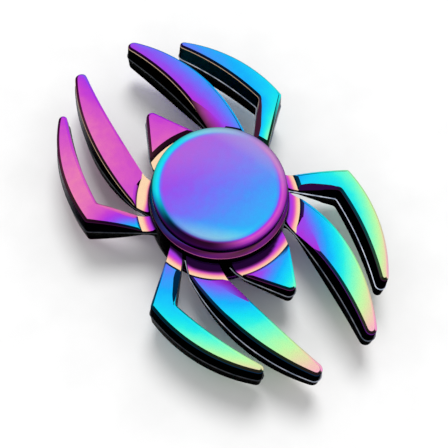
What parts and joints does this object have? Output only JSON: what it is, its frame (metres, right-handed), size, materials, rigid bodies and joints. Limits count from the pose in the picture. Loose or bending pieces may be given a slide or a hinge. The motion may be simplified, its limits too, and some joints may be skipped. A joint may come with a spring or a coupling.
{
  "type": "fidget spinner",
  "caption": "Spider-shaped fidget spinner: crescent and bent legs round a ball-bearing hub, held between two round finger caps.",
  "frame": {"origin": "centre of the bearing, on the casting's mid plane", "axes": "+Z out through the top cap along the spin axis; +Y towards the head wedge, along the longest direction; +X towards an open flank"},
  "size_m": [0.0466, 0.0758, 0.0164],
  "materials": {
    "rainbow_casting": "polished die casting with an oil-slick interference coating that runs from magenta through violet and blue to green and gold",
    "rainbow_cap": "polished cap with the same interference coating, violet to blue",
    "bearing_steel": "ground bearing steel",
    "ball_steel": "mirror-polished ball",
    "pressed_steel": "bright pressed sheet steel",
    "spring_wire": "bright drawn spring wire",
    "washer_steel": "plain turned washer",
    "black_oxide_steel": "black oxide"
  },
  "bodies": {
    "core": {"top_cap": "rainbow_cap", "bottom_cap": "rainbow_cap", "top_washer": "washer_steel", "bottom_washer": "washer_steel", "joining_stud": "black_oxide_steel", "bearing_inner_ring": "bearing_steel"},
    "rotor": {"spider_body": "rainbow_casting", "bearing_outer_ring": "bearing_steel", "shield_top": "pressed_steel", "shield_bottom": "pressed_steel", "shield_wire_top": "spring_wire", "shield_wire_bottom": "spring_wire", "retaining_ring": "black_oxide_steel"},
    "cage": {"cage_top": "pressed_steel", "cage_bottom": "pressed_steel", "cage_rivets": "pressed_steel"},
    "ball_1_body": {"ball_1": "ball_steel"},
    "ball_2_body": {"ball_2": "ball_steel"},
    "ball_3_body": {"ball_3": "ball_steel"},
    "ball_4_body": {"ball_4": "ball_steel"},
    "ball_5_body": {"ball_5": "ball_steel"},
    "ball_6_body": {"ball_6": "ball_steel"},
    "ball_7_body": {"ball_7": "ball_steel"}
  },
  "joints": [
    {"name": "rotor_spin", "type": "hinge", "parent": "core", "child": "rotor", "pos_m": [0, 0, 0], "axis": [0, 0, 1], "continuous": true},
    {"name": "cage_spin", "type": "hinge", "parent": "core", "child": "cage", "pos_m": [0, 0, 0], "axis": [0, 0, 1], "continuous": true},
    {"name": "ball_1_roll", "type": "hinge", "parent": "cage", "child": "ball_1_body", "pos_m": [0.0075, 0, 0], "axis": [0, 0, 1], "continuous": true},
    {"name": "ball_2_roll", "type": "hinge", "parent": "cage", "child": "ball_2_body", "pos_m": [0.00468, 0.00586, 0], "axis": [0, 0, 1], "continuous": true},
    {"name": "ball_3_roll", "type": "hinge", "parent": "cage", "child": "ball_3_body", "pos_m": [-0.00167, 0.00731, 0], "axis": [0, 0, 1], "continuous": true},
    {"name": "ball_4_roll", "type": "hinge", "parent": "cage", "child": "ball_4_body", "pos_m": [-0.00676, 0.00325, 0], "axis": [0, 0, 1], "continuous": true},
    {"name": "ball_5_roll", "type": "hinge", "parent": "cage", "child": "ball_5_body", "pos_m": [-0.00676, -0.00325, 0], "axis": [0, 0, 1], "continuous": true},
    {"name": "ball_6_roll", "type": "hinge", "parent": "cage", "child": "ball_6_body", "pos_m": [-0.00167, -0.00731, 0], "axis": [0, 0, 1], "continuous": true},
    {"name": "ball_7_roll", "type": "hinge", "parent": "cage", "child": "ball_7_body", "pos_m": [0.00468, -0.00586, 0], "axis": [0, 0, 1], "continuous": true}
  ],
  "couplings": [
    {"joint": "cage_spin", "follows": "rotor_spin", "ratio": 0.63227},
    {"joint": "ball_1_roll", "follows": "rotor_spin", "ratio": 1.7579},
    {"joint": "ball_2_roll", "follows": "rotor_spin", "ratio": 1.7579},
    {"joint": "ball_3_roll", "follows": "rotor_spin", "ratio": 1.7579},
    {"joint": "ball_4_roll", "follows": "rotor_spin", "ratio": 1.7579},
    {"joint": "ball_5_roll", "follows": "rotor_spin", "ratio": 1.7579},
    {"joint": "ball_6_roll", "follows": "rotor_spin", "ratio": 1.7579},
    {"joint": "ball_7_roll", "follows": "rotor_spin", "ratio": 1.7579}
  ]
}
